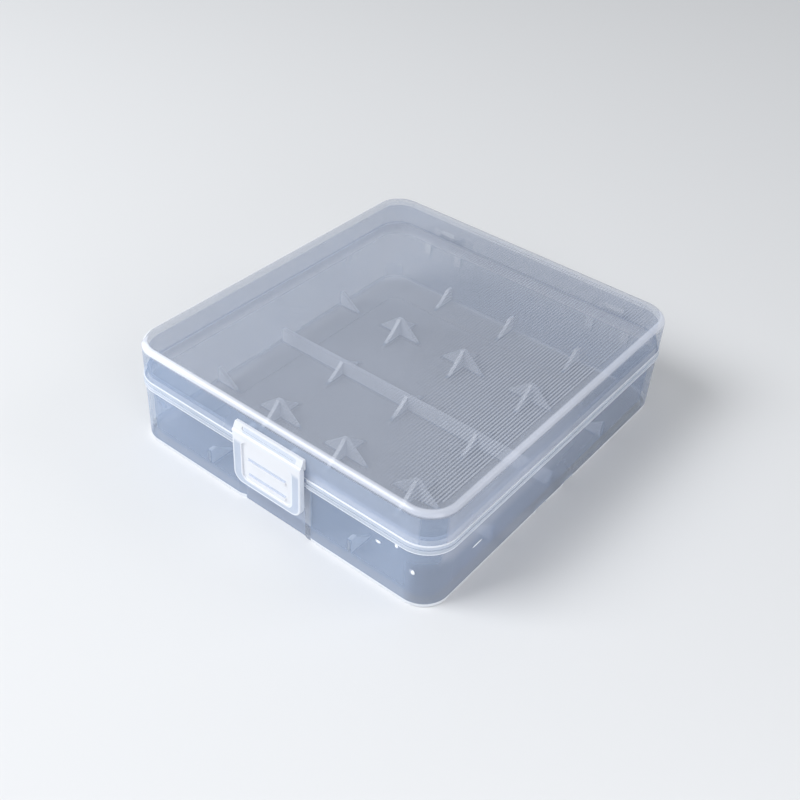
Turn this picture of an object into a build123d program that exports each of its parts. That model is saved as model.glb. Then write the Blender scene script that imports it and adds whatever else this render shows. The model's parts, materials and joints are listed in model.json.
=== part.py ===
"""Flat hinged box for four long cells: a ribbed base tray, a lid and a hooked front latch.

The box stands on z = 0. X runs along the latch side, the latch faces -Y and the hinge is at +Y.
"""

import os
from math import cos, radians, sin

from build123d import *

# --- Overall box -----------------------------------------------------------------------------
box_width = 73.0
box_depth = 80.5
box_height = 22.15
rim_radius = 6.4
foot_radius = 5.3
wall = 1.2
floor_thickness = 1.2
lid_top_thickness = 1.2

# --- Seam between base and lid ---------------------------------------------------------------
seam_height = 13.9
seam_gap = 0.15
base_bead_proud = 0.3
base_bead_height = 0.9
lid_bead_proud = 0.17
lid_bead_height = 0.95
lid_wall_inset = 0.27
foot_inset = 0.18
lip_height = 1.9
lip_clearance = 0.15
lip_headroom = 0.25
skirt_skin = 0.6
bead_rounding = 0.1

# --- Edge roundings --------------------------------------------------------------------------
level_tolerance = 0.001
lid_edge_radius = 1.3
lid_inner_radius = 0.7
floor_inner_radius = 0.5
foot_edge_radius = 0.3

# --- Floor and ribs --------------------------------------------------------------------------
floor_step = 0.25
floor_margin_x = 6.3
floor_margin_y = 7.5
floor_step_radius = 2.0
cell_pitch_x = 17.4
cell_pitch_y = 19.3
rib_thickness = 0.8
divider_thickness = 1.0
divider_height = 3.8
cross_height = 4.8
cross_arm_x = 6.0
cross_arm_y = 6.4
cross_tip = 0.9
divider_gusset_arm = 6.3
side_gusset_height = 4.1
side_gusset_arm = 6.4
end_gusset_height = 3.9
end_gusset_arm = 7.2
end_gusset_flat = 1.6
saddle_sag = 0.45
gate_mark_radius = 3.2
gate_mark_width = 0.6
gate_mark_height = 0.3
gate_mark_x = 17.6
gate_mark_y = -3.6

# --- Notches in the foot of the two side walls -----------------------------------------------
notch_length = 3.5
notch_depth = 0.35
notch_height = 0.9
notch_spacing = 9.6

# --- Finger recess in the front wall ---------------------------------------------------------
recess_depth = 0.6
recess_half_width = 7.2
recess_slope_length = 1.9
recess_top_gap = 0.5

# --- Latch -----------------------------------------------------------------------------------
latch_centre_x = 0.5
latch_width = 16.2
latch_top = 19.25
latch_crease = 17.45
latch_bottom = 6.0
latch_proud = 1.45
latch_thickness = 1.05
latch_corner_radius = 2.2
latch_edge_radius = 0.2
crease_radius = 0.45
crease_clearance = 0.06
plate_thickness_top = 0.5
plate_slot_depth = 0.2
plate_slot_height = 0.7
plate_slot_end = 1.9
panel_depth = 0.3
panel_border = 2.2
panel_border_bottom = 1.4
panel_border_top = 1.2
panel_corner_radius = 1.3
grip_length = 9.2
grip_height = 0.7
grip_proud = 0.32
grip_spacing = 3.6
grip_first_drop = 5.2
grip_ridges = 2
peg_radius = 0.8
peg_clearance = 0.05
peg_spacing = 10.0
hook_length = 9.0
hook_height = 0.9
hook_gap_below_catch = 0.15
catch_proud = 0.12
catch_clearance = 0.1
bead_end_gap = 0.35

# --- Hinge -----------------------------------------------------------------------------------
hinge_spacing = 44.0
hinge_height = 13.4
hinge_pin_radius = 0.9
hinge_pin_clearance = 0.05
hinge_barrel_radius = 2.0
hinge_wall_gap = 0.3
hinge_clip_length = 6.0
hinge_side_gap = 0.3
hinge_ear_thickness = 2.0
hinge_ear_drop = 5.5
hinge_mouth = 1.5
hinge_mouth_angle = -70.0
hinge_arm_low = 1.0
hinge_arm_high = 4.2
hinge_arm_root = 0.3
hinge_arm_angle = 60.0

# --- Sizes that follow -----------------------------------------------------------------------
half_x = box_width / 2
half_y = box_depth / 2
base_half_x = half_x - base_bead_proud
base_half_y = half_y - base_bead_proud
foot_half_x = base_half_x - foot_inset
foot_half_y = base_half_y - foot_inset
lid_half_x = half_x - lid_wall_inset
lid_half_y = half_y - lid_wall_inset
lid_radius = rim_radius - lid_wall_inset
inner_radius = rim_radius - base_bead_proud - wall
inner_foot_radius = foot_radius - wall
inner_half_x = base_half_x - wall
inner_half_y = base_half_y - wall
inner_foot_half_x = foot_half_x - wall
inner_foot_half_y = foot_half_y - wall
lip_top = seam_height + lip_height
lid_bottom = seam_height + seam_gap
lid_ceiling = box_height - lid_top_thickness
skirt_inset = skirt_skin + lip_clearance
floor_low = floor_thickness - floor_step
lid_front = -lid_half_y
base_front = -base_half_y
latch_front = lid_front - latch_proud
latch_back = latch_front + latch_thickness
crease_y = latch_front + crease_radius
plate_foot_y = crease_y - crease_radius / 4
plate_foot_z = latch_crease + crease_radius + crease_clearance
hinge_y = half_y + hinge_wall_gap + hinge_barrel_radius
rib_foot = floor_low - floor_step


def rounded_block(size_x, size_y, radius, low, high):
    """An upright block with half sizes size_x and size_y, rounded in plan."""
    plan = RectangleRounded(2 * size_x, 2 * size_y, radius)
    return Pos(0, 0, low) * extrude(plan, high - low)


def drafted_block(foot, head, low, high):
    """A block between two rounded outlines, each (half x, half y, corner radius)."""
    outlines = [
        Pos(0, 0, level) * RectangleRounded(2 * size_x, 2 * size_y, radius)
        for (size_x, size_y, radius), level in ((foot, low), (head, high))
    ]
    return loft(outlines)


def on_level(edges, level):
    """Those of the edges that lie in the horizontal plane at this height."""
    return edges.filter_by_position(Axis.Z, level - level_tolerance, level + level_tolerance)


def edges_at(shape, level):
    """The edges of a shape that lie in the horizontal plane at this height."""
    return on_level(shape.edges(), level)


def bead(size_x, size_y, radius, low, high):
    """The rounded rail that runs around a rim, as a full block to be joined to the wall."""
    rail = rounded_block(size_x, size_y, radius, low, high)
    return fillet(edges_at(rail, low) + edges_at(rail, high), bead_rounding)


def plate_across_x(points, thickness):
    """A plate standing in the YZ plane, centred on x = 0, from its (y, z) outline."""
    outline = make_face(Polyline(*points, close=True))
    return extrude(Plane.YZ * outline, thickness / 2, both=True)


def plate_across_y(points, thickness):
    """A plate standing in the XZ plane, centred on y = 0, from its (x, z) outline."""
    outline = make_face(Polyline(*points, close=True))
    return extrude(Plane.XZ * outline, thickness / 2, both=True)


def saddle_side(start, end):
    """The hollowed slope that a cell lies against, from a rib's top to its toe."""
    middle = ((start[0] + end[0]) / 2, (start[1] + end[1]) / 2 - saddle_sag)
    return ThreePointArc(start, middle, end)


def saddle_plate(flat, arm, rise, sides):
    """A rib in the YZ plane with a flat top and a hollowed slope on one or both sides."""
    top = floor_low + rise
    shape = Part()
    for side in sides:
        head = (side * flat, top)
        toe = (side * arm, floor_low)
        foot = (side * arm, rib_foot)
        lines = [
            Line((0, rib_foot), (0, top)),
            Line((0, top), head),
            saddle_side(head, toe),
            Line(toe, foot),
            Line(foot, (0, rib_foot)),
        ]
        shape += extrude(Plane.YZ * make_face(lines), rib_thickness / 2, both=True)
    return shape


def buttress(flat, arm, rise, sides):
    """A straight-sloped rib in the XZ plane on one or both sides of x = 0."""
    top = floor_low + rise
    shape = Part()
    for side in sides:
        points = [
            (0, rib_foot),
            (0, top),
            (side * flat, top),
            (side * arm, floor_low),
            (side * arm, rib_foot),
        ]
        shape += plate_across_y(points, rib_thickness)
    return shape


def cell_cross():
    """A four-armed cross that keeps neighbouring cells apart."""
    both_sides = (-1, 1)
    arms_y = saddle_plate(cross_tip / 2, cross_arm_y, cross_height, both_sides)
    arms_x = buttress(cross_tip / 2, cross_arm_x, cross_height, both_sides)
    return arms_y + arms_x


def rib_columns():
    """The x positions of the ribs that run across the cells."""
    return [step * cell_pitch_x for step in (-1, 0, 1)]


def base_shell():
    """The tray's walls, floor, rim bead and inner lip."""
    foot = (foot_half_x, foot_half_y, foot_radius)
    rim = (base_half_x, base_half_y, rim_radius - base_bead_proud)
    shell = drafted_block(foot, rim, 0, seam_height)
    shell = fillet(edges_at(shell, 0), foot_edge_radius)
    shell += bead(half_x, half_y, rim_radius, seam_height - base_bead_height, seam_height)
    lip_half_x = lid_half_x - skirt_inset
    lip_half_y = lid_half_y - skirt_inset
    lip_radius = lid_radius - skirt_inset
    shell += rounded_block(lip_half_x, lip_half_y, lip_radius, seam_height - wall, lip_top)
    inner_foot = (inner_foot_half_x, inner_foot_half_y, inner_foot_radius)
    inner_rim = (inner_half_x, inner_half_y, inner_radius)
    hollow = drafted_block(inner_foot, inner_rim, floor_thickness, lip_top)
    hollow = fillet(edges_at(hollow, floor_thickness), floor_inner_radius)
    return shell - hollow


def flared_block(deep, opening, low, high):
    """An upright block centred on the latch, from a deep edge to an open one, each (y, half width)."""
    (deep_y, deep_half), (open_y, open_half) = deep, opening
    outline = Polyline(
        (latch_centre_x - open_half, open_y),
        (latch_centre_x - deep_half, deep_y),
        (latch_centre_x + deep_half, deep_y),
        (latch_centre_x + open_half, open_y),
        close=True,
    )
    return Pos(0, 0, low) * extrude(make_face(outline), high - low)


def front_recess():
    """The shallow finger recess in the front wall, as (cut, backing)."""
    near = base_front - wall
    deep = base_front + recess_depth
    flare = recess_slope_length / recess_depth
    half = recess_half_width
    top = seam_height - base_bead_height - recess_top_gap
    cut = flared_block((deep, half), (near, half + flare * (deep - near)), -wall, top)
    inner = (deep + wall, half)
    backing = flared_block(inner, (deep, half + flare * wall), floor_low, top + wall / 2)
    return cut, backing


def side_notches():
    """The pairs of small notches in the lower edge of the two side walls."""
    notches = Part()
    for side in (-1, 1):
        for step in (-0.5, 0.5):
            block = Box(2 * notch_depth, notch_length, 2 * notch_height)
            notches += Pos(side * foot_half_x, step * notch_spacing, 0) * block
    return notches


def base_ribs():
    """The divider, crosses and gussets that stand on the floor and hold the cells."""
    ribs = Part()
    divider_top = floor_low + divider_height
    divider_size = (2 * inner_half_x + wall, divider_thickness, divider_top - rib_foot)
    ribs += Pos(0, 0, (divider_top + rib_foot) / 2) * Box(*divider_size)
    for x in rib_columns():
        for row in (-1, 1):
            ribs += Pos(x, row * cell_pitch_y, 0) * cell_cross()
        crossing = saddle_plate(
            divider_thickness / 2, divider_gusset_arm, divider_height, (-1, 1)
        )
        ribs += Pos(x, 0, 0) * crossing
        for side in (-1, 1):
            wall_y = side * inner_foot_half_y
            gusset = saddle_plate(end_gusset_flat, end_gusset_arm, end_gusset_height, (-side,))
            root = Box(rib_thickness, wall, end_gusset_height + floor_step)
            root = Pos(0, side * wall / 2, (floor_low + end_gusset_height + rib_foot) / 2) * root
            ribs += Pos(x, wall_y, 0) * (gusset + root)
    for row in (-1, 1):
        for side in (-1, 1):
            gusset = buttress(cross_tip / 2, side_gusset_arm, side_gusset_height, (-side,))
            root = Box(wall, rib_thickness, side_gusset_height + floor_step)
            root = Pos(side * wall / 2, 0, (floor_low + side_gusset_height + rib_foot) / 2) * root
            ribs += Pos(side * inner_foot_half_x, row * cell_pitch_y, 0) * (gusset + root)
    return ribs


def gate_mark():
    """A plain moulded ring on the floor beside the divider."""
    ring = Circle(gate_mark_radius) - Circle(gate_mark_radius - gate_mark_width)
    place = Pos(gate_mark_x, gate_mark_y, rib_foot)
    return place * extrude(ring, floor_step + gate_mark_height)


def hinge_stations():
    """The x positions of the middle of each hinge."""
    return [side * hinge_spacing / 2 for side in (-1, 1)]


def hinge_ear():
    """One of the base's hinge ears, centred on x = 0."""
    barrel = Plane.YZ * Pos(hinge_y, hinge_height) * Circle(hinge_barrel_radius)
    web = plate_across_x(
        [
            (base_half_y - wall / 2, hinge_height),
            (hinge_y, hinge_height),
            (hinge_y, hinge_height - hinge_barrel_radius),
            (base_half_y - wall / 2, hinge_height - hinge_ear_drop),
        ],
        hinge_ear_thickness,
    )
    return extrude(barrel, hinge_ear_thickness / 2, both=True) + web


def base_hinges():
    """The base's ears with the pin moulded between them, at both hinges."""
    hinges = Part()
    reach = hinge_clip_length / 2 + hinge_side_gap + hinge_ear_thickness / 2
    pin_outline = Plane.YZ * Pos(hinge_y, hinge_height) * Circle(hinge_pin_radius)
    for x in hinge_stations():
        hinges += Pos(x, 0, 0) * extrude(pin_outline, reach, both=True)
        for side in (-1, 1):
            hinges += Pos(x + side * reach, 0, 0) * hinge_ear()
    return hinges


def lid_clip():
    """The lid's hinge clip with its arm, centred on x = 0."""
    barrel = Circle(hinge_barrel_radius)
    shape = extrude(Plane.YZ * Pos(hinge_y, hinge_height) * barrel, hinge_clip_length / 2, both=True)
    arm_root = lid_half_y - hinge_arm_root
    arm_reach = hinge_barrel_radius * cos(radians(hinge_arm_angle))
    arm_rise = hinge_barrel_radius * sin(radians(hinge_arm_angle))
    arm = plate_across_x(
        [
            (arm_root, lid_bottom + hinge_arm_low),
            (hinge_y - hinge_barrel_radius, hinge_height),
            (hinge_y + arm_reach, hinge_height + arm_rise),
            (arm_root, hinge_height + hinge_arm_high),
        ],
        hinge_clip_length,
    )
    bore = Circle(hinge_pin_radius + hinge_pin_clearance)
    mouth = Pos(hinge_barrel_radius, 0) * Rectangle(2 * hinge_barrel_radius, hinge_mouth)
    opening = bore + Rot(0, 0, hinge_mouth_angle) * mouth
    cut = extrude(Plane.YZ * Pos(hinge_y, hinge_height) * opening, hinge_clip_length, both=True)
    return shape + arm - cut


def peg_places():
    """The x positions of the latch's two pegs."""
    return [latch_centre_x + side * peg_spacing / 2 for side in (-1, 1)]


def peg_row(radius, start, length):
    """Two round rods along Y at the peg places, from y = start."""
    level = (latch_crease + latch_top) / 2
    rods = Part()
    for x in peg_places():
        rods += Plane.XZ.offset(-start) * Pos(x, level) * extrude(Circle(radius), -length)
    return rods


def latch_bay(back, low, high):
    """The space cut out of a rim bead so that the latch can lie close to the wall."""
    bay_width = latch_width + 2 * bead_end_gap
    bay_depth = wall
    block = Box(bay_width, bay_depth, high - low)
    return Pos(latch_centre_x, back - bay_depth / 2, (low + high) / 2) * block


def build_base():
    """The base tray."""
    base = base_shell()
    step = rounded_block(
        inner_foot_half_x - floor_margin_x,
        inner_foot_half_y - floor_margin_y,
        floor_step_radius,
        floor_low,
        floor_thickness + floor_inner_radius,
    )
    base -= step
    recess_cut, recess_backing = front_recess()
    base += recess_backing
    base += base_ribs()
    base -= recess_cut
    base += gate_mark()
    base -= side_notches()
    base -= latch_bay(base_front - catch_proud, seam_height - base_bead_height - wall, seam_height)
    base += base_hinges()
    return base


def build_lid():
    """The lid with its bead, the rebate over the base's lip and the hinge clips."""
    lid = rounded_block(lid_half_x, lid_half_y, lid_radius, lid_bottom, box_height)
    lid = fillet(edges_at(lid, box_height), lid_edge_radius)
    lid += bead(
        lid_half_x + lid_bead_proud,
        lid_half_y + lid_bead_proud,
        lid_radius + lid_bead_proud,
        lid_bottom,
        lid_bottom + lid_bead_height,
    )
    hollow = rounded_block(
        lid_half_x - wall, lid_half_y - wall, lid_radius - wall, lid_bottom - wall, lid_ceiling
    )
    lid -= fillet(edges_at(hollow, lid_ceiling), lid_inner_radius)
    lid -= rounded_block(
        lid_half_x - skirt_skin,
        lid_half_y - skirt_skin,
        lid_radius - skirt_skin,
        lid_bottom - wall,
        lip_top + lip_headroom,
    )
    lid -= latch_bay(lid_front, lid_bottom, lid_bottom + lid_bead_height + wall)
    lid -= peg_row(peg_radius + peg_clearance, lid_front - wall, 3 * wall)
    for x in hinge_stations():
        lid += Pos(x, 0, 0) * lid_clip()
    return lid


def latch_block(points):
    """A block over the latch's width from its (y, z) outline."""
    return Pos(latch_centre_x, 0, 0) * plate_across_x(points, latch_width)


def crease_rod(radius):
    """A rod over the latch's width along the crease that the flap turns about."""
    outline = Plane.YZ * Pos(crease_y, latch_crease) * Circle(radius)
    return Pos(latch_centre_x, 0, 0) * extrude(outline, latch_width / 2, both=True)


def plate_slope():
    """The workplane on the sloping front of the latch's upper plate."""
    foot = Vector(0, plate_foot_y, plate_foot_z)
    head = Vector(0, lid_front - plate_thickness_top, latch_top)
    run = head - foot
    middle = (foot + head) / 2 + Vector(latch_centre_x, 0, 0)
    return Plane(origin=middle, x_dir=(1, 0, 0), z_dir=(0, -run.Z, run.Y))


def build_latch_plate():
    """The latch's upper plate, pegged to the lid's front wall."""
    plate = latch_block(
        [
            (lid_front, latch_crease - crease_radius),
            (crease_y, latch_crease - crease_radius),
            (crease_y, latch_crease),
            (plate_foot_y, plate_foot_z),
            (lid_front - plate_thickness_top, latch_top),
            (lid_front, latch_top),
        ]
    )
    top_corners = on_level(plate.edges().filter_by(Axis.Y), latch_top)
    plate = fillet(top_corners, latch_edge_radius)
    reach = 2 * latch_proud
    swing = Box(latch_width, reach, reach)
    plate -= crease_rod(crease_radius + crease_clearance)
    plate -= Pos(latch_centre_x, latch_back - reach / 2, latch_crease - reach / 2) * swing
    slot = SlotOverall(latch_width - 2 * plate_slot_end, plate_slot_height)
    plate -= plate_slope().offset(-plate_slot_depth) * extrude(slot, 2 * plate_slot_depth)
    plate += peg_row(peg_radius, lid_front, wall)
    return plate


def build_latch_flap():
    """The latch's flap with its grip panel outside and its hook inside."""
    flap = latch_block(
        [
            (latch_front, latch_bottom),
            (latch_front, latch_crease),
            (crease_y, latch_crease),
            (latch_back, latch_crease - crease_radius - crease_clearance),
            (latch_back, latch_bottom),
        ]
    )
    low_corners = on_level(flap.edges().filter_by(Axis.Y), latch_bottom)
    flap = fillet(low_corners, latch_corner_radius)
    front = flap.faces().filter_by(Axis.Y).sort_by(Axis.Y)[0]
    below_crease = (0, latch_crease - level_tolerance)
    flap = fillet(front.edges().filter_by_position(Axis.Z, *below_crease), latch_edge_radius)
    flap += crease_rod(crease_radius)
    panel_low = latch_bottom + panel_border_bottom
    panel_high = latch_crease - panel_border_top
    panel_mid = (panel_low + panel_high) / 2
    panel = RectangleRounded(
        latch_width - 2 * panel_border, panel_high - panel_low, panel_corner_radius
    )
    face = Plane.XZ.offset(-latch_front)
    flap -= face * Pos(latch_centre_x, panel_mid) * extrude(panel, -panel_depth)
    for number in range(grip_ridges):
        level = latch_crease - grip_first_drop - number * grip_spacing
        ridge = SlotOverall(grip_length, grip_height)
        floor_face = Plane.XZ.offset(-latch_front - panel_depth)
        flap += floor_face * Pos(latch_centre_x, level) * extrude(ridge, grip_proud)
    catch_bottom = seam_height - base_bead_height
    hook_top = catch_bottom - hook_gap_below_catch
    hook_tip = base_front - catch_proud - catch_clearance
    hook = plate_across_x(
        [
            (latch_back - latch_thickness / 2, hook_top),
            (hook_tip, hook_top),
            (hook_tip, hook_top - hook_height / 2),
            (latch_back, hook_top - hook_height),
            (latch_back - latch_thickness / 2, hook_top - hook_height),
        ],
        hook_length,
    )
    return flap + Pos(latch_centre_x, 0, 0) * hook


def main():
    """Build every piece and write each one to its own file."""
    os.makedirs("parts", exist_ok=True)
    pieces = {
        "base_tray": build_base(),
        "lid": build_lid(),
        "latch_plate": build_latch_plate(),
        "latch_flap": build_latch_flap(),
    }
    for name, piece in pieces.items():
        export_step(piece, f"parts/{name}.step")
        print(name, round(piece.volume, 2))


main()
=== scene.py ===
"""Looks for a flat hinged box of milky plastic with a whiter latch on its front.

Lengths in names that end in _mm, and in outlines, fades and bands, are in millimetres,
and all others are in metres.
"""

import json
import logging
import math
from dataclasses import dataclass, field
from enum import Enum

import bmesh
import bpy
from mathutils import Matrix, Vector

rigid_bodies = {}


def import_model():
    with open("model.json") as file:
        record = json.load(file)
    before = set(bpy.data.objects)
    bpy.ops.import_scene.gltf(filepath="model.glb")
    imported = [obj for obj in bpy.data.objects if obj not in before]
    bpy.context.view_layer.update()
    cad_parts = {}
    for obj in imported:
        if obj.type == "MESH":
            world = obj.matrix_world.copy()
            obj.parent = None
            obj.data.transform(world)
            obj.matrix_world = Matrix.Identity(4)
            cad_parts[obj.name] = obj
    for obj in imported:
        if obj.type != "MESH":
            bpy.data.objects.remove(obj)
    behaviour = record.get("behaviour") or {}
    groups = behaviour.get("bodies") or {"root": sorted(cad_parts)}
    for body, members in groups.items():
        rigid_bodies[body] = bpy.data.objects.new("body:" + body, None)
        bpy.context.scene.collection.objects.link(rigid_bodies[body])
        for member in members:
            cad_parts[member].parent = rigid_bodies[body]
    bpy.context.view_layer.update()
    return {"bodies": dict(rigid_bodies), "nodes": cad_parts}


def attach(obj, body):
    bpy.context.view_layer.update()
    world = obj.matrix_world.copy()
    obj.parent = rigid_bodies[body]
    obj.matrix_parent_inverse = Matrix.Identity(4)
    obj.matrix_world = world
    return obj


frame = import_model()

MM = 0.001
LOG = logging.getLogger("box")

Colour = tuple[float, float, float]
Triple = tuple[float, float, float]


class Body(Enum):
    """The moving bodies of the box."""

    BASE = "base"
    LID = "lid"
    LATCH = "latch"


class Slot(Enum):
    """The record's material slots."""

    MILKY = "milky_plastic"
    WHITE = "white_plastic"


class Graph:
    """A material's node tree, or a geometry tree, with one method that adds nodes."""

    def __init__(self, tree: bpy.types.NodeTree) -> None:
        """Start on an emptied tree.

        Args:
            tree: The node tree to fill.
        """
        tree.nodes.clear()
        self.tree = tree

    def node(
        self, kind: str, settings: dict | None = None, sockets: dict | None = None
    ) -> bpy.types.Node:
        """Add one node.

        Args:
            kind: The node's type.
            settings: Its own settings, which are set first.
            sockets: Values or links of its input sockets, by name or number.

        Returns:
            The new node.
        """
        made = self.tree.nodes.new(kind)
        for name, value in (settings or {}).items():
            setattr(made, name, value)
        for key, value in (sockets or {}).items():
            source = value.socket if isinstance(value, Signal) else value
            if isinstance(source, bpy.types.NodeSocket):
                self.tree.links.new(source, made.inputs[key])
            else:
                made.inputs[key].default_value = source
        return made


class Signal:
    """A number that varies over a surface. Arithmetic on it adds Math nodes."""

    def __init__(self, graph: Graph, socket: bpy.types.NodeSocket) -> None:
        """Wrap a socket.

        Args:
            graph: The tree that the socket belongs to.
            socket: The output socket that gives the number.
        """
        self.graph = graph
        self.socket = socket

    def math(self, operation: str, *values: "Signal | float") -> "Signal":
        """Add a Math node on these values.

        Args:
            operation: The Math node's operation.
            values: Its operands in order.

        Returns:
            The result.
        """
        made = self.graph.node(
            "ShaderNodeMath", {"operation": operation}, dict(enumerate(values))
        )
        return Signal(self.graph, made.outputs[0])

    def __add__(self, other: "Signal | float") -> "Signal":
        """Return self + other."""
        return self.math("ADD", self, other)

    def __radd__(self, other: float) -> "Signal":
        """Return other + self."""
        return self.math("ADD", other, self)

    def __sub__(self, other: "Signal | float") -> "Signal":
        """Return self - other."""
        return self.math("SUBTRACT", self, other)

    def __rsub__(self, other: float) -> "Signal":
        """Return other - self."""
        return self.math("SUBTRACT", other, self)

    def __mul__(self, other: "Signal | float") -> "Signal":
        """Return self * other."""
        return self.math("MULTIPLY", self, other)

    def __rmul__(self, other: float) -> "Signal":
        """Return other * self."""
        return self.math("MULTIPLY", other, self)

    def __truediv__(self, other: "Signal | float") -> "Signal":
        """Return self / other."""
        return self.math("DIVIDE", self, other)

    def __rtruediv__(self, other: float) -> "Signal":
        """Return other / self."""
        return self.math("DIVIDE", other, self)

    def __abs__(self) -> "Signal":
        """Return the number without its sign."""
        return self.math("ABSOLUTE", self)

    def root(self) -> "Signal":
        """Return the square root."""
        return self.math("SQRT", self)

    def fraction(self) -> "Signal":
        """Return the part after the point."""
        return self.math("FRACT", self)

    def at_least(self, other: "Signal | float") -> "Signal":
        """Return the larger of the two."""
        return self.math("MAXIMUM", self, other)

    def at_most(self, other: "Signal | float") -> "Signal":
        """Return the smaller of the two."""
        return self.math("MINIMUM", self, other)

    def rise(self, low: float, high: float) -> "Signal":
        """Fade smoothly from 0 to 1.

        Args:
            low: Where the fade starts.
            high: Where it ends, below low for a fade that falls.

        Returns:
            The faded number.
        """
        flip = high < low
        made = self.graph.node(
            "ShaderNodeMapRange",
            {"interpolation_type": "SMOOTHSTEP"},
            {
                "Value": self,
                "From Min": min(low, high),
                "From Max": max(low, high),
                "To Min": float(flip),
                "To Max": float(not flip),
            },
        )
        return Signal(self.graph, made.outputs["Result"])

    def band(self, low: float, high: float, soft: float) -> "Signal":
        """Be 1 between two levels and fade to 0 outside them.

        Args:
            low: The lower level.
            high: The upper level.
            soft: The width of each fade.

        Returns:
            The band.
        """
        return self.rise(low - soft, low) * self.rise(high + soft, high)


@dataclass(frozen=True)
class Tone:
    """What the plastic looks like in one zone."""

    colour: Colour
    opacity: float


@dataclass(frozen=True)
class Outline:
    """A rounded rectangle about a centre."""

    half_a_mm: float
    half_b_mm: float
    radius_mm: float
    centre_a_mm: float = 0.0
    centre_b_mm: float = 0.0

    def distance(self, a: Signal, b: Signal) -> Signal:
        """Measure how far a point lies outside the outline.

        Args:
            a: The point's first coordinate, in millimetres.
            b: Its second coordinate.

        Returns:
            The distance in millimetres, below 0 inside.
        """
        over_a = abs(a - self.centre_a_mm) - (self.half_a_mm - self.radius_mm)
        over_b = abs(b - self.centre_b_mm) - (self.half_b_mm - self.radius_mm)
        out_a, out_b = over_a.at_least(0.0), over_b.at_least(0.0)
        corner = (out_a * out_a + out_b * out_b).root()
        return corner + over_a.at_least(over_b).at_most(0.0) - self.radius_mm


@dataclass(frozen=True)
class Fade:
    """The soft edge of a zone: where it starts to show, and where it is full."""

    start: float
    full: float

    def of(self, along: Signal) -> Signal:
        """Return how much of the zone shows at a place along the edge's own line."""
        return along.rise(self.start, self.full)


@dataclass(frozen=True)
class Band:
    """A stripe between two levels, which fades out on both sides."""

    low: float
    high: float
    soft: float = 0.1

    def of(self, along: Signal) -> Signal:
        """Return how much of the stripe shows at a place across it."""
        return along.band(self.low, self.high, self.soft)


@dataclass(frozen=True)
class Plastic:
    """Moulded polypropylene: its tone, its faint clouding, its skin and its gloss."""

    body: Tone
    roughness: float = 0.30
    roughness_spread: float = 0.10
    cloud_size_mm: float = 16.0
    cloud_detail: float = 3.0
    cloud_depth: float = 0.10
    cloud_opacity: float = 0.05
    grain_size_mm: float = 0.5
    grain_detail: float = 2.0
    grain_height_mm: float = 0.006
    wave_size_mm: float = 11.0
    wave_detail: float = 1.0
    wave_height_mm: float = 0.06
    clearest: float = 0.02
    index: float = 1.49
    shine: float = 1.0
    seed: float = 0.0


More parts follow.
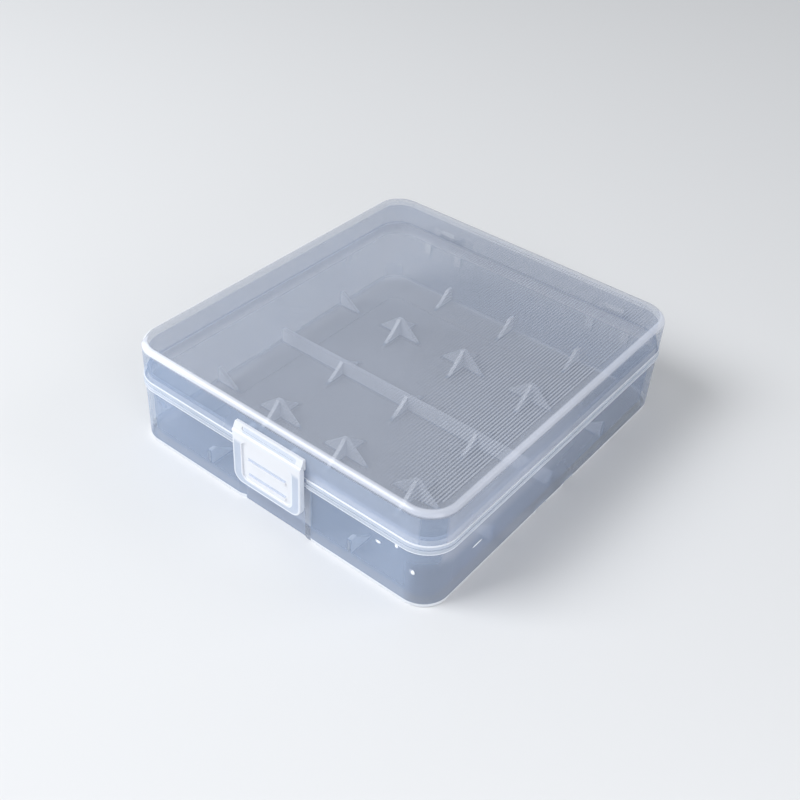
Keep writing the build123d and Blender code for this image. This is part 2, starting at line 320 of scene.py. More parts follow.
class Paint:
    """A material in the making: tones are laid over a plastic's body, zone by zone."""

    def __init__(self, name: str, plastic: Plastic) -> None:
        """Start a material with the plastic's own tone everywhere.

        Args:
            name: The material's name.
            plastic: What it is made of.
        """
        self.material = bpy.data.materials.new(name)
        self.material.use_nodes = True
        self.graph = Graph(self.material.node_tree)
        self.plastic = plastic
        origin = self.graph.node("ShaderNodeTexCoord").outputs["Object"]
        scaled = self.graph.node(
            "ShaderNodeVectorMath", {"operation": "SCALE"}, {"Vector": origin, "Scale": 1 / MM}
        )
        self.place_mm = scaled.outputs["Vector"]
        parts = self.graph.node("ShaderNodeSeparateXYZ", None, {"Vector": self.place_mm})
        self.x, self.y, self.z = (Signal(self.graph, parts.outputs[i]) for i in range(3))
        start = self.graph.node(
            "ShaderNodeMix", {"data_type": "RGBA"}, {"Factor": 0.0, "A": (*plastic.body.colour, 1)}
        )
        self.colour = start.outputs["Result"]
        # The opacity is the same all over at first, but has to be a signal from the start.
        self.opacity = self.x * 0.0 + plastic.body.opacity

    def noise(self, size_mm: float, detail: float) -> Signal:
        """Return a soft random pattern.

        Args:
            size_mm: How large its patches are.
            detail: How much finer detail lies on them.

        Returns:
            The pattern, about 0 to 1 with a mean of 0.5.
        """
        moved = self.graph.node(
            "ShaderNodeMapping",
            None,
            {
                "Vector": self.place_mm,
                "Location": (self.plastic.seed, 2 * self.plastic.seed, 3 * self.plastic.seed),
                "Scale": (1.0 / size_mm,) * 3,
            },
        )
        made = self.graph.node(
            "ShaderNodeTexNoise",
            None,
            {"Vector": moved.outputs["Vector"], "Scale": 1.0, "Detail": detail},
        )
        return Signal(self.graph, made.outputs[0])

    def over(self, mask: Signal, tone: Tone) -> None:
        """Lay a tone over the zones laid so far.

        Args:
            mask: Where it lies, from 0 to 1.
            tone: What it looks like.
        """
        mixed = self.graph.node(
            "ShaderNodeMix",
            {"data_type": "RGBA"},
            {"Factor": mask, "A": self.colour, "B": (*tone.colour, 1.0)},
        )
        self.colour = mixed.outputs["Result"]
        self.opacity = self.opacity + (tone.opacity - self.opacity) * mask

    def finish(self) -> bpy.types.Material:
        """Add the clouding, the skin and the gloss.

        Returns:
            The finished material.
        """
        look = self.plastic
        cloud = self.noise(look.cloud_size_mm, look.cloud_detail) * 2.0 - 1.0
        shade = 1.0 + cloud * look.cloud_depth
        tinted = self.graph.node(
            "ShaderNodeVectorMath",
            {"operation": "SCALE"},
            {"Vector": self.colour, "Scale": shade},
        )
        clouded = self.opacity + cloud * look.cloud_opacity
        opacity = clouded.at_least(look.clearest).at_most(1.0)
        grain = self.noise(look.grain_size_mm, look.grain_detail)
        wave = self.noise(look.wave_size_mm, look.wave_detail)
        rough = look.roughness + (grain - 0.5) * look.roughness_spread
        skin = self.graph.node(
            "ShaderNodeBump",
            None,
            {
                "Strength": 1.0,
                "Distance": MM,
                "Height": grain * look.grain_height_mm + wave * look.wave_height_mm,
            },
        )
        shader = self.graph.node(
            "ShaderNodeBsdfPrincipled",
            None,
            {
                "Base Color": tinted.outputs["Vector"],
                "Roughness": rough,
                "Alpha": opacity,
                "IOR": look.index,
                "Specular IOR Level": look.shine,
                "Normal": skin.outputs["Normal"],
            },
        )
        self.graph.node("ShaderNodeOutputMaterial", None, {"Surface": shader.outputs[0]})
        return self.material


@dataclass(frozen=True)
class Palette:
    """The tones of the milky mouldings: a colour, and the opacity of one surface."""

    wall: Tone = Tone((0.37, 0.49, 0.70), 0.34)
    foot: Tone = Tone((0.36, 0.47, 0.68), 0.44)
    top: Tone = Tone((0.49, 0.53, 0.62), 0.32)
    floor: Tone = Tone((0.62, 0.64, 0.69), 0.46)
    rib: Tone = Tone((0.90, 0.92, 0.97), 0.80)
    # The rim bead: whiter where more plastic is seen edge-on, partly painted highlight.
    bead: Tone = Tone((0.78, 0.85, 0.96), 0.55)
    # Painted shade cast by the latch: on the slope at its right, and below it.
    shade: Tone = Tone((0.27, 0.35, 0.52), 0.36)
    shade_below_latch: Tone = Tone((0.38, 0.47, 0.66), 0.50)
    # The lid's rounded upper edge: whiter where the plastic is seen edge-on, partly painted
    # highlight.
    crown: Tone = Tone((0.85, 0.88, 0.98), 0.58)
    # Painted light and shade on the right walls: lighter near the front, darker low down and
    # towards the back.
    lit_side_near: Tone = Tone((0.58, 0.64, 0.78), 0.38)
    shaded_side_low: Tone = Tone((0.26, 0.33, 0.49), 0.44)
    shaded_side_far: Tone = Tone((0.24, 0.30, 0.42), 0.40)
    # Painted shade and light on the lid's front wall: darker, and lighter towards the right
    # corner.
    shaded_front_left: Tone = Tone((0.28, 0.40, 0.60), 0.36)
    lit_front_right: Tone = Tone((0.52, 0.61, 0.78), 0.42)
    # Painted shade on the far walls.
    back: Tone = Tone((0.29, 0.38, 0.54), 0.36)
    # The lip and the lid's skirt: whiter where more plastic is seen edge-on, partly painted
    # highlight.
    lip: Tone = Tone((0.90, 0.93, 1.0), 0.62)
    # Painted shade low on the tray's corner nearest the camera.
    corner: Tone = Tone((0.22, 0.28, 0.40), 0.52)
    # Painted shade: dark lines between the ridges on the lid's top.
    groove_shade: Tone = Tone((0.23, 0.26, 0.34), 0.36)
    hinge: Tone = Tone((0.62, 0.70, 0.84), 0.12)
    # Painted highlight: thin white lines on edges, the rim and the latch's crease.
    edge: Tone = Tone((0.92, 0.95, 1.0), 0.80)
    speck: Tone = Tone((0.95, 0.97, 1.0), 1.0)


MILKY = Palette()


def say(obj: bpy.types.Object, what: str) -> None:
    """Report a finished piece.

    Args:
        obj: The piece.
        what: What it is, in a few words.
    """
    LOG.info("%s: %s, %d faces", obj.name, what, len(obj.data.polygons))


def dress(obj: bpy.types.Object, material: bpy.types.Material) -> None:
    """Give a piece its one material.

    Args:
        obj: The piece.
        material: Its finish.
    """
    obj.data.materials.clear()
    obj.data.materials.append(material)


def new_piece(name: str, mesh: bpy.types.Mesh, body: Body) -> bpy.types.Object:
    """Put a mesh in the scene as a piece that rides on a body.

    Args:
        name: The piece's name.
        mesh: Its mesh, in the shared frame.
        body: The body that it moves with.

    Returns:
        The piece's object.
    """
    obj = bpy.data.objects.new(name, mesh)
    bpy.context.scene.collection.objects.link(obj)
    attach(obj, body.value)
    return obj


@dataclass
class Tray:
    """The base: floor, walls, rim bead, lip, ribs and hinge ears."""

    node: str = "base_tray"
    plastic: Plastic = Plastic(MILKY.wall, seed=3.1)
    wall_outline: Outline = Outline(36.2, 39.95, 6.1)

    # Outwards from the wall's outline.
    floor_reach: Fade = Fade(-0.8, -1.6)
    inner_side: Fade = Fade(-1.45, -1.8)
    outer_side: Fade = Fade(-0.9, -0.5)
    bead_side: Fade = Fade(0.02, 0.10)
    bead_edge_side: Fade = Fade(0.0, 0.1)
    lip_side: Fade = Fade(0.0, -0.3)

    # Along X.
    left_wall: Fade = Fade(-35.4, -35.8)
    right_wall: Fade = Fade(35.3, 35.8)
    recess_slope: Band = Band(7.8, 9.5, 0.15)
    below_latch: Band = Band(-6.6, 7.8, 0.3)

    # Along Y.
    front_gussets: Fade = Fade(-30.8, -31.6)
    back_wall: Fade = Fade(39.2, 39.6)
    right_far: Fade = Fade(-34.0, 20.0)
    recess_front: Fade = Fade(-39.1, -39.2)
    hinge_ears: Fade = Fade(40.4, 40.7)

    # Along X minus Y, towards the corner that is nearest to the camera.
    near_corner: Fade = Fade(69.6, 72.2)

    # Along Z.
    floor_level: Fade = Fade(1.5, 1.2)
    rib_level: Fade = Fade(1.3, 2.0)
    foot_level: Fade = Fade(4.6, 2.9)
    right_low: Fade = Fade(12.0, 8.5)
    near_corner_low: Fade = Fade(11.8, 9.0)
    bottom_edge: Fade = Fade(0.95, 0.75)
    slope_level: Fade = Fade(12.6, 12.4)
    below_latch_level: Fade = Fade(7.4, 4.4)
    bead_level: Band = Band(13.0, 13.9)
    bead_edge_level: Band = Band(12.9, 13.2)
    lip_level: Fade = Fade(13.0, 13.5)

    def material(self) -> bpy.types.Material:
        """Make the tray's finish, with paler ribs and rim, painted highlights on the rim and the
        lower edge, walls painted lighter or darker by side, and painted shade beside and below the
        latch.

        Returns:
            The material.
        """
        paint = Paint("milky_tray", self.plastic)
        out = self.wall_outline.distance(paint.x, paint.y)
        self.lay_inside(paint, out)
        self.lay_walls(paint, self.outer_side.of(out))
        self.lay_recess(paint)
        self.lay_rim(paint, out)
        return paint.finish()

    def lay_inside(self, paint: Paint, out: Signal) -> None:
        """Lay the tones of the floor, the ribs and the gussets.

        Args:
            paint: The finish in the making.
            out: The distance outside the wall's outline.
        """
        paint.over(self.floor_level.of(paint.z) * self.floor_reach.of(out), MILKY.floor)
        ribs = self.rib_level.of(paint.z)
        inside = self.inner_side.of(out)
        paint.over(ribs * inside, MILKY.rib)
        paint.over(self.front_gussets.of(paint.y) * ribs * inside, MILKY.speck)

    def lay_walls(self, paint: Paint, outer: Signal) -> None:
        """Lay the tones of the four walls' outer sides, painted lighter or darker by side and
        darker at the near corner, with a painted highlight along the bottom edge.

        Args:
            paint: The finish in the making.
            outer: Where the walls' outer sides are.
        """
        paint.over(self.foot_level.of(paint.z) * outer, MILKY.foot)
        # Painted shade: the far walls, at the back and on the left, darker.
        far = self.back_wall.of(paint.y).at_least(self.left_wall.of(paint.x)) * outer
        paint.over(far, MILKY.back)
        # Painted light and shade: the right wall lighter near the front, and darker low down and
        # towards the back.
        side = self.right_wall.of(paint.x) * outer
        paint.over(side, MILKY.lit_side_near)
        paint.over(side * self.right_low.of(paint.z), MILKY.shaded_side_low)
        paint.over(side * self.right_far.of(paint.y), MILKY.shaded_side_far)
        # Painted shade low on the corner nearest the camera.
        corner_shade = self.near_corner.of(paint.x - paint.y) * self.near_corner_low.of(paint.z)
        paint.over(corner_shade * outer, MILKY.corner)
        # Painted highlight: a thin white line along the bottom edge.
        paint.over(self.bottom_edge.of(paint.z) * outer, MILKY.edge)

    def lay_recess(self, paint: Paint) -> None:
        """Lay the shade beside and below the latch.

        Args:
            paint: The finish in the making.
        """
        slope = self.recess_slope.of(paint.x) * self.slope_level.of(paint.z)
        under = self.below_latch.of(paint.x) * self.below_latch_level.of(paint.z)
        in_recess = self.recess_front.of(paint.y)
        # Painted shade cast by the latch: on the slope at its right, and below it.
        paint.over(slope * in_recess, MILKY.shade)
        paint.over(under * in_recess, MILKY.shade_below_latch)

    def lay_rim(self, paint: Paint, out: Signal) -> None:
        """Lay the tones of the rim bead, the hinge ears and the lip; the bead and lip are whiter
        where more plastic is seen edge-on and partly painted highlight.

        Args:
            paint: The finish in the making.
            out: The distance outside the wall's outline.
        """
        # The rim bead: whiter where more plastic is seen edge-on, partly painted highlight.
        paint.over(self.bead_side.of(out) * self.bead_level.of(paint.z), MILKY.bead)
        # Painted highlight: a thin white line along the bead's lower edge.
        paint.over(self.bead_edge_side.of(out) * self.bead_edge_level.of(paint.z), MILKY.edge)
        paint.over(self.hinge_ears.of(paint.y), MILKY.hinge)
        # The lip: whiter where more plastic is seen edge-on, partly painted highlight.
        paint.over(self.lip_level.of(paint.z) * self.lip_side.of(out), MILKY.lip)

    def build(self) -> None:
        """Dress the tray."""
        tray = frame["nodes"][self.node]
        dress(tray, self.material())
        say(tray, "the base tray")


@dataclass
class TopRidges:
    """The fine parallel ridges moulded on the lid's top, lower towards the left."""

    pitch_mm: float = 0.605
    count: int = 112
    width_mm: float = 0.30
    height_mm: float = 0.05
    facets: int = 8
    outline: Outline = Outline(33.9, 37.7, 4.2)
    level_mm: float = 22.15

    # The ridges' height, from its lowest share on the left to all of it on the right,
    # in shares of the outline's half width.
    growth: Fade = Fade(-0.4, 0.5)
    lowest_share: float = 0.3

    # How clearly they show, along a line that leans from X towards Y: a painted sheen, clearer
    # towards the right and back where the light catches them.
    lean: float = 0.6
    clearer: Fade = Fade(-8.0, 20.0)
    plastic: Plastic = Plastic(Tone((0.78, 0.82, 0.90), 0.02), cloud_opacity=0.015, seed=8.4)
    # Painted sheen: the ridges more opaque towards the right and back, where the light catches
    # them.
    clear: Tone = Tone((0.78, 0.82, 0.90), 0.22)

    def lit_clearness(self, x: Signal, y: Signal) -> Signal:
        """Say how clearly the ridges show at a point, from 0 to 1, as a painted sheen."""
        return self.clearer.of(x + y * self.lean)

    def tree(self, material: bpy.types.Material) -> tuple[bpy.types.NodeTree, dict[str, float]]:
        """Build the geometry tree that lays the ridges side by side.

        Args:
            material: The ridges' finish.

        Returns:
            The tree, and the value of each of its named inputs.
        """
        tree = bpy.data.node_groups.new("top_ridges", "GeometryNodeTree")
        values = {
            "Pitch": self.pitch_mm * MM,
            "Count": self.count,
            "Width": self.width_mm * MM,
            "Height": self.height_mm * MM,
            "Half Width": self.outline.half_a_mm * MM,
            "Half Length": self.outline.half_b_mm * MM,
            "Corner Radius": self.outline.radius_mm * MM,
            "Level": self.level_mm * MM,
        }
        for name, value in values.items():
            kind = "NodeSocketInt" if isinstance(value, int) else "NodeSocketFloat"
            tree.interface.new_socket(name, in_out="INPUT", socket_type=kind)
        tree.interface.new_socket("Geometry", in_out="OUTPUT", socket_type="NodeSocketGeometry")
        graph = Graph(tree)
        given = graph.node("NodeGroupInput").outputs
        pitch, count, width, height, half_x, half_y, radius, level = (
            Signal(graph, given[name]) for name in values
        )
        start = graph.node(
            "ShaderNodeCombineXYZ",
            None,
            {"X": (count - 1.0) * pitch * -0.5, "Y": 0.0, "Z": level},
        )
        step = graph.node("ShaderNodeCombineXYZ", None, {"X": pitch, "Y": 0.0, "Z": 0.0})
        line = graph.node(
            "GeometryNodeMeshLine",
            None,
            {"Count": count, "Start Location": start.outputs[0], "Offset": step.outputs[0]},
        )
        where = graph.node("GeometryNodeInputPosition")
        axes = graph.node("ShaderNodeSeparateXYZ", None, {"Vector": where.outputs["Position"]})
        x = Signal(graph, axes.outputs["X"])
        over = (abs(x) - (half_x - radius)).at_least(0.0)
        reach = half_y - radius + (radius * radius - over * over).at_least(0.0).root()
        growth = self.growth.of(x / half_x)
        share = growth * (1.0 - self.lowest_share) + self.lowest_share
        size = graph.node(
            "ShaderNodeCombineXYZ", None, {"X": width * 0.5, "Y": reach, "Z": height * share}
        )
        # The rod reaches one unit from its middle every way, and each copy is scaled to size.
        rod = graph.node(
            "GeometryNodeMeshCylinder",
            None,
            {"Vertices": self.facets, "Radius": 1.0, "Depth": 2.0},
        )
        laid = graph.node(
            "GeometryNodeTransform",
            None,
            {"Geometry": rod.outputs["Mesh"], "Rotation": (math.pi / 2, 0.0, 0.0)},
        )
        copies = graph.node(
            "GeometryNodeInstanceOnPoints",
            None,
            {
                "Points": line.outputs[0],
                "Instance": laid.outputs[0],
                "Scale": size.outputs[0],
            },
        )
        real = graph.node("GeometryNodeRealizeInstances", None, {0: copies.outputs[0]})
        dressed = graph.node(
            "GeometryNodeSetMaterial", None, {"Geometry": real.outputs[0], "Material": material}
        )
        graph.node("NodeGroupOutput", None, {0: dressed.outputs[0]})
        return tree, values

    def material(self) -> bpy.types.Material:
        """Make the ridges' finish, with a painted sheen that shows them more towards the right and
        back.

        Returns:
            The material.
        """
        paint = Paint("milky_ridges", self.plastic)
        # Painted sheen: the ridges show more towards the right and back.
        paint.over(self.lit_clearness(paint.x, paint.y), self.clear)
        return paint.finish()

    def build(self) -> None:
        """Lay the ridges on the lid."""
        material = self.material()
        tree, values = self.tree(material)
        holder = bpy.data.objects.new("ridge_holder", bpy.data.meshes.new("ridge_holder"))
        bpy.context.scene.collection.objects.link(holder)
        modifier = holder.modifiers.new("ridges", "NODES")
        modifier.node_group = tree
        for item in tree.interface.items_tree:
            if item.in_out == "INPUT":
                modifier[item.identifier] = values[item.name]
        graph = bpy.context.evaluated_depsgraph_get()
        mesh = bpy.data.meshes.new_from_object(holder.evaluated_get(graph))
        mesh.name = "lid_top_ridges"
        holder.modifiers.clear()
        bpy.data.objects.remove(holder)
        ridges = new_piece("lid_top_ridges", mesh, Body.LID)
        dress(ridges, material)
        say(ridges, "the fine ridges on the lid")


@dataclass
class Lid:
    """The lid: its top, walls, rim bead and hinge clips."""

    node: str = "lid"
    plastic: Plastic = Plastic(MILKY.wall, seed=5.7)
    wall_outline: Outline = Outline(36.23, 39.98, 6.13)
    ridges: TopRidges = field(default_factory=TopRidges)

    # The painted shade between two ridges, in shares of their pitch from its middle.
    groove_shade: Fade = Fade(0.30, 0.16)

    # Outwards from the ridges' outline.
    groove_reach: Fade = Fade(0.1, -0.1)

    # Outwards from the wall's outline.
    outer_side: Fade = Fade(-0.4, -0.2)
    crown_side: Fade = Fade(-1.35, -0.95)
    rim_side: Band = Band(-0.72, -0.28, 0.12)
    skirt_side: Fade = Fade(-0.3, -0.5)
    bead_side: Fade = Fade(0.02, 0.08)
    ledge_side: Fade = Fade(-0.05, 0.03)

    # Along X.
    lit_front_right: Fade = Fade(-26.0, 12.0)
    left_wall: Fade = Fade(-35.6, -36.0)
    right_wall: Fade = Fade(35.6, 36.0)
    left_rim: Fade = Fade(-34.0, -34.8)
    lit_left: Fade = Fade(6.0, -34.0)

    # Along Y.
    front_wall: Fade = Fade(-39.2, -39.6)
    back_wall: Fade = Fade(39.4, 39.7)
    right_far: Fade = Fade(-30.0, 20.0)
    back_rim: Fade = Fade(37.6, 38.4)
    lit_front: Fade = Fade(-37.8, -38.6)
    hinge_clips: Fade = Fade(40.4, 40.7)

    # Along Z.
    top_level: Fade = Fade(20.75, 21.05)
    crown_level: Fade = Fade(21.05, 21.45)
    rim_level: Fade = Fade(20.95, 21.25)
    skirt_level: Fade = Fade(15.8, 15.4)
    bead_level: Band = Band(14.05, 15.0)
    ledge_level: Band = Band(14.85, 15.0)

    def material(self) -> bpy.types.Material:
        """Make the lid's finish, with a whiter upper edge and rim that carry painted highlights,
        walls painted lighter or darker by side, and painted shade between the top's ridges.

        Returns:
            The material.
        """
        paint = Paint("milky_lid", self.plastic)
        out = self.wall_outline.distance(paint.x, paint.y)
        self.lay_walls(paint, self.outer_side.of(out))
        self.lay_top(paint)
        self.lay_crown(paint, out)
        self.lay_rim(paint, out)
        return paint.finish()

    def lay_walls(self, paint: Paint, outer: Signal) -> None:
        """Lay the tones of the four walls' outer sides, painted lighter or darker by side: painted
        light and shade.

        Args:
            paint: The finish in the making.
            outer: Where the walls' outer sides are.
        """
        # Painted shade and light: the front wall darker, and lighter towards the right corner.
        front = self.front_wall.of(paint.y) * outer
        paint.over(front, MILKY.shaded_front_left)
        paint.over(front * self.lit_front_right.of(paint.x), MILKY.lit_front_right)
        # Painted shade: the far walls, at the back and on the left, darker.
        behind = self.back_wall.of(paint.y).at_least(self.left_wall.of(paint.x)) * outer
        paint.over(behind, MILKY.back)
        # Painted light and shade: the right wall lighter near the front and darker towards the
        # back.
        side = self.right_wall.of(paint.x) * outer
        paint.over(side, MILKY.lit_side_near)
        paint.over(side * self.right_far.of(paint.y), MILKY.shaded_side_far)

    def lay_top(self, paint: Paint) -> None:
        """Lay the tone of the top, and the painted shade in dark lines between its ridges.

        Args:
            paint: The finish in the making.
        """
        top = self.top_level.of(paint.z)
        paint.over(top, MILKY.top)
        # Painted shade: dark lines between the ridges, clearer towards the right and back where
        # the light shows them.
        turn = (paint.x / self.ridges.pitch_mm + 0.5).fraction()
        between = self.groove_shade.of(abs(turn - 0.5)) * self.ridges.lit_clearness(paint.x, paint.y)
        on_top = self.groove_reach.of(self.ridges.outline.distance(paint.x, paint.y))
        paint.over(top * between * on_top, MILKY.groove_shade)

    def lay_crown(self, paint: Paint, out: Signal) -> None:
        """Lay the tones of the rounded upper edge, thinner on the far sides: whiter plastic seen
        edge-on with a painted highlight, brightest at the front left, and a painted highlight line
        along the far rims.

        Args:
            paint: The finish in the making.
            out: The distance outside the wall's outline.
        """
        crown = self.crown_level.of(paint.z) * self.crown_side.of(out)
        far = self.back_rim.of(paint.y).at_least(self.left_rim.of(paint.x))
        # Whiter plastic seen edge-on along the rounded upper edge, with a painted highlight,
        # thinner on the far sides.
        paint.over(crown * (1.0 - far), MILKY.crown)
        # Painted highlight: brightest along the front left of the upper edge, where the light
        # falls.
        lit = self.lit_front.of(paint.y) * self.lit_left.of(paint.x)
        paint.over(crown * lit, MILKY.edge)
        # Painted highlight: a thin white line along the far rims.
        paint.over(self.rim_side.of(out) * self.rim_level.of(paint.z) * far, MILKY.edge)

    def lay_rim(self, paint: Paint, out: Signal) -> None:
        """Lay the tones of the skirt, the rim bead and the hinge clips; the skirt and bead are
        whiter where more plastic is seen edge-on and partly painted highlight, and the ledge has a
        painted highlight line.

        Args:
            paint: The finish in the making.
            out: The distance outside the wall's outline.
        """
        # The skirt and rim bead: whiter where more plastic is seen edge-on, partly painted
        # highlight.
        paint.over(self.skirt_level.of(paint.z) * self.skirt_side.of(out), MILKY.lip)
        paint.over(self.bead_side.of(out) * self.bead_level.of(paint.z), MILKY.bead)
        paint.over(self.hinge_clips.of(paint.y), MILKY.hinge)
        # Painted highlight: a thin white line on the ledge.
        paint.over(self.ledge_side.of(out) * self.ledge_level.of(paint.z), MILKY.edge)

    def build(self) -> None:
        """Dress the lid and lay its ridges."""
        lid = frame["nodes"][self.node]
        dress(lid, self.material())
        say(lid, "the lid")
        self.ridges.build()


@dataclass
class Latch:
    """The latch: its plate on the lid and the flap that hangs from it."""

    plate_node: str = "latch_plate"
    flap_node: str = "latch_flap"
    white: Plastic = Plastic(
        Tone((0.90, 0.915, 0.95), 0.83),
        roughness=0.26,
        roughness_spread=0.05,
        cloud_depth=0.03,
        grain_height_mm=0.002,
        seed=1.3,
    )
    border: Tone = Tone((0.66, 0.74, 0.88), 0.66)
    # Painted shade above each grip ridge.
    groove_shade: Tone = Tone((0.58, 0.64, 0.76), 0.85)
    # Painted shade in the slot above the crease.
    slot_shade: Tone = Tone((0.76, 0.82, 0.92), 0.78)
    panel: Outline = Outline(5.9, 4.425, 1.3, 0.5, 11.825)
    edge: Outline = Outline(8.1, 5.75, 2.2, 0.5, 11.75)
    slot: Outline = Outline(6.3, 0.45, 0.35, 0.9, 18.4)

    # Outwards from the panel's, the edge's and the slot's outlines.
    beyond_panel: Fade = Fade(0.1, 0.4)
    panel_side: Band = Band(-0.05, 0.3, 0.12)
    within_edge: Fade = Fade(-0.2, -0.6)
    edge_line: Fade = Fade(-0.42, -0.18)
    within_slot: Fade = Fade(0.1, -0.1)

    # Along X, and sideways from the panel's middle.
    right_of_panel: Fade = Fade(5.2, 6.2)
    grip_reach: Fade = Fade(4.7, 4.4)

    # Along Y.
    front: Fade = Fade(-40.1, -40.3)

    # Along Z, and the painted shade above each grip ridge, from the level of that ridge.
    border_level: Fade = Fade(16.2, 15.0)
    crease_level: Band = Band(17.1, 17.45)
    edge_level: Fade = Fade(17.0, 16.4)
    grip_levels_mm: tuple[float, ...] = (12.25, 8.65)
    grip_groove_shade: Band = Band(0.36, 0.52, 0.12)

    def material(self, name: str) -> bpy.types.Material:
        """Make a latch piece's finish.

        Args:
            name: The material's name.

        Returns:
            White plastic with a slightly clearer border round the grip panel, painted highlights
            on the crease and edges, and painted shade above the grip ridges and in the slot.
        """
        paint = Paint(name, self.white)
        from_panel = self.panel.distance(paint.x, paint.z)
        from_edge = self.edge.distance(paint.x, paint.z)
        ring = self.beyond_panel.of(from_panel) * self.within_edge.of(from_edge)
        paint.over(ring * self.border_level.of(paint.z), self.border)
        # Painted highlight along the crease.
        paint.over(self.crease_level.of(paint.z), MILKY.edge)
        front = self.front.of(paint.y)
        along = self.grip_reach.of(abs(paint.x - self.panel.centre_a_mm))
        # Painted shade above each grip ridge.
        for level in self.grip_levels_mm:
            paint.over(self.grip_groove_shade.of(paint.z - level) * along * front, self.groove_shade)
        # Painted shade in the slot above the crease.
        in_slot = self.within_slot.of(self.slot.distance(paint.x, paint.z))
        paint.over(in_slot * front, self.slot_shade)
        # Painted highlight along the latch's outer edge, below the crease.
        paint.over(self.edge_line.of(from_edge) * self.edge_level.of(paint.z), MILKY.edge)
        # Painted highlight on the right side of the grip panel.
        beside = self.panel_side.of(from_panel) * self.right_of_panel.of(paint.x) * front
        paint.over(beside, MILKY.edge)
        return paint.finish()

    def build(self) -> None:
        """Dress both of the latch's nodes."""
        for node in (self.plate_node, self.flap_node):
            piece = frame["nodes"][node]
            dress(piece, self.material(f"white_{node}"))
            say(piece, "a piece of the latch")


@dataclass
class Flecks:
    """The few bright flecks near the front corner: three in the front wall, one in the right."""

    places_mm: tuple[Triple, ...] = (
        (24.8, -39.90, 10.7),
        (28.65, -39.92, 12.3),
        (31.9, -39.60, 8.2),
        (36.1, -26.8, 7.8),
    )
    half_sizes_mm: tuple[Triple, ...] = (
        (0.55, 0.07, 0.30),
        (0.35, 0.07, 0.40),
        (0.60, 0.09, 0.55),
        (0.06, 1.50, 0.22),
    )
    rings: int = 10
    sectors: int = 16
    plastic: Plastic = Plastic(MILKY.speck, roughness=0.4, cloud_depth=0.03)

    def build(self) -> None:
        """Set the flecks in the walls."""
        shape = bmesh.new()
        for place, half_size in zip(self.places_mm, self.half_sizes_mm):
            scale = Matrix.Diagonal((*(Vector(half_size) * MM), 1.0))
            spot = Matrix.Translation(Vector(place) * MM) @ scale
            bmesh.ops.create_uvsphere(
                shape, u_segments=self.sectors, v_segments=self.rings, radius=1.0, matrix=spot
            )
        for face in shape.faces:
            face.smooth = True
        mesh = bpy.data.meshes.new("front_wall_flecks")
        shape.to_mesh(mesh)
        shape.free()
        flecks = new_piece("front_wall_flecks", mesh, Body.BASE)
        dress(flecks, Paint("bright_flecks", self.plastic).finish())
        say(flecks, "the bright flecks near the front corner")


@dataclass(frozen=True)
class SoftLight:
    """One square soft light that looks at the middle of the box."""

    name: str
    azimuth_deg: float
    elevation_deg: float
    distance: float
    size: float
    watts: float
    colour: Colour = (1.0, 1.0, 1.0)

    def build(self, target: Vector) -> None:
        """Hang the light.

        Args:
            target: The point that it looks at.
        """
        lamp = bpy.data.lights.new(self.name, "AREA")
        lamp.shape = "SQUARE"
        lamp.size = self.size
        lamp.energy = self.watts
        lamp.color = self.colour
        holder = bpy.data.objects.new(self.name, lamp)
        bpy.context.scene.collection.objects.link(holder)
        back = direction(self.azimuth_deg, self.elevation_deg)
        holder.location = target + back * self.distance
        holder.rotation_euler = back.to_track_quat("Z", "Y").to_euler()


def direction(azimuth_deg: float, elevation_deg: float) -> Vector:
    """Return the unit vector from the box towards a viewer.

    Args:
        azimuth_deg: 0 is in front, at -Y, and 90 is at +X.
        elevation_deg: The angle above the floor.

    Returns:
        The direction.
    """
    a, e = math.radians(azimuth_deg), math.radians(elevation_deg)
    return Vector((math.sin(a) * math.cos(e), -math.cos(a) * math.cos(e), math.sin(e)))


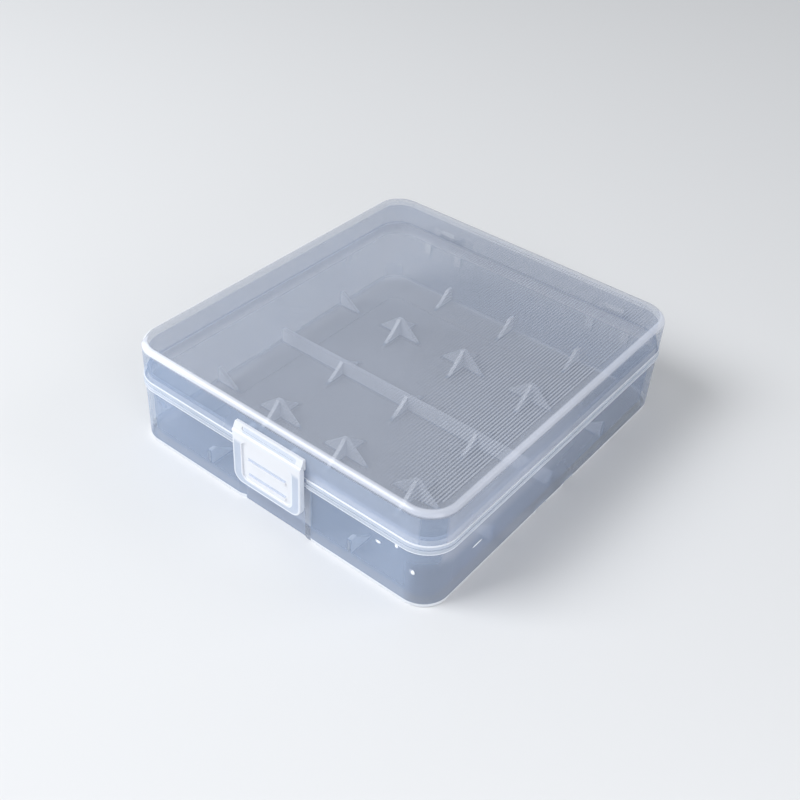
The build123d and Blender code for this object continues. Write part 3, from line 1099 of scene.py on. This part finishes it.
@dataclass
class Studio:
    """The plain pale floor, the soft surroundings and the lights."""

    floor_size: float = 6.0
    floor_colour: Colour = (0.79, 0.79, 0.79)
    floor_roughness: float = 0.8
    sky_colour: Colour = (0.94, 0.97, 1.0)
    sky_strength: float = 0.40
    colours: str = "Standard"
    target: Vector = field(default_factory=lambda: Vector((0.0, 0.0, 0.01)))
    lights: tuple[SoftLight, ...] = (
        SoftLight("key_light", -38.0, 44.0, 0.75, 0.40, 5.0, (0.95, 0.97, 1.0)),
        SoftLight("side_light", 130.0, 30.0, 0.90, 0.35, 1.0, (0.95, 0.95, 1.0)),
        SoftLight("near_fill", 62.0, 14.0, 0.30, 0.12, 0.18, (0.97, 0.97, 1.0)),
    )

    def build(self) -> None:
        """Lay the floor, set the surroundings and hang the lights."""
        bpy.context.scene.view_settings.view_transform = self.colours
        shape = bmesh.new()
        bmesh.ops.create_grid(shape, x_segments=1, y_segments=1, size=self.floor_size / 2)
        mesh = bpy.data.meshes.new("studio_floor")
        shape.to_mesh(mesh)
        shape.free()
        floor = bpy.data.objects.new("studio_floor", mesh)
        bpy.context.scene.collection.objects.link(floor)
        material = bpy.data.materials.new("studio_floor")
        material.use_nodes = True
        graph = Graph(material.node_tree)
        shader = graph.node(
            "ShaderNodeBsdfPrincipled",
            None,
            {"Base Color": (*self.floor_colour, 1.0), "Roughness": self.floor_roughness},
        )
        graph.node("ShaderNodeOutputMaterial", None, {"Surface": shader.outputs[0]})
        mesh.materials.append(material)
        world = bpy.data.worlds.new("soft_surroundings")
        world.use_nodes = True
        bpy.context.scene.world = world
        sky = Graph(world.node_tree)
        glow = sky.node(
            "ShaderNodeBackground",
            None,
            {"Color": (*self.sky_colour, 1.0), "Strength": self.sky_strength},
        )
        sky.node("ShaderNodeOutputWorld", None, {"Surface": glow.outputs[0]})
        for light in self.lights:
            light.build(self.target)


@dataclass
class Viewpoint:
    """The camera at the photograph's viewing angle, for a frame of 800 by 800."""

    azimuth_deg: float = 36.28
    elevation_deg: float = 38.90
    roll_deg: float = 3.83
    distance: float = 0.2252
    target_mm: Triple = (-3.72, 2.45, 0.0)
    focal_px: float = 1076.0
    frame_px: float = 800.0
    sensor_mm: float = 36.0
    nearest: float = 0.005
    farthest: float = 20.0

    def build(self) -> None:
        """Set up the camera and make it the scene's own."""
        back = direction(self.azimuth_deg, self.elevation_deg)
        right = Vector((0.0, 0.0, 1.0)).cross(back).normalized()
        upward = back.cross(right)
        c, s = math.cos(math.radians(self.roll_deg)), math.sin(math.radians(self.roll_deg))
        turned_right = c * right + s * upward
        turned_up = c * upward - s * right
        lens = bpy.data.cameras.new("photo_view")
        lens.sensor_width = self.sensor_mm
        lens.lens = self.focal_px * self.sensor_mm / self.frame_px
        lens.clip_start, lens.clip_end = self.nearest, self.farthest
        camera = bpy.data.objects.new("photo_view", lens)
        bpy.context.scene.collection.objects.link(camera)
        turn = Matrix((turned_right, turned_up, back)).transposed()
        place = Vector(self.target_mm) * MM + back * self.distance
        camera.matrix_world = Matrix.Translation(place) @ turn.to_4x4()
        bpy.context.scene.camera = camera


def clear_start_objects() -> None:
    """Remove the objects of a new file that aren't part of the frame."""
    kept = {*frame["bodies"].values(), *frame["nodes"].values()}
    for obj in [o for o in bpy.data.objects if o not in kept]:
        bpy.data.objects.remove(obj)


def main() -> None:
    """Build and dress every piece, then the studio and the camera."""
    logging.basicConfig(level=logging.INFO, format="%(message)s")
    clear_start_objects()
    for assembly in (Tray(), Lid(), Latch(), Flecks()):
        assembly.build()
    Studio().build()
    Viewpoint().build()


if __name__ == "__main__":
    main()
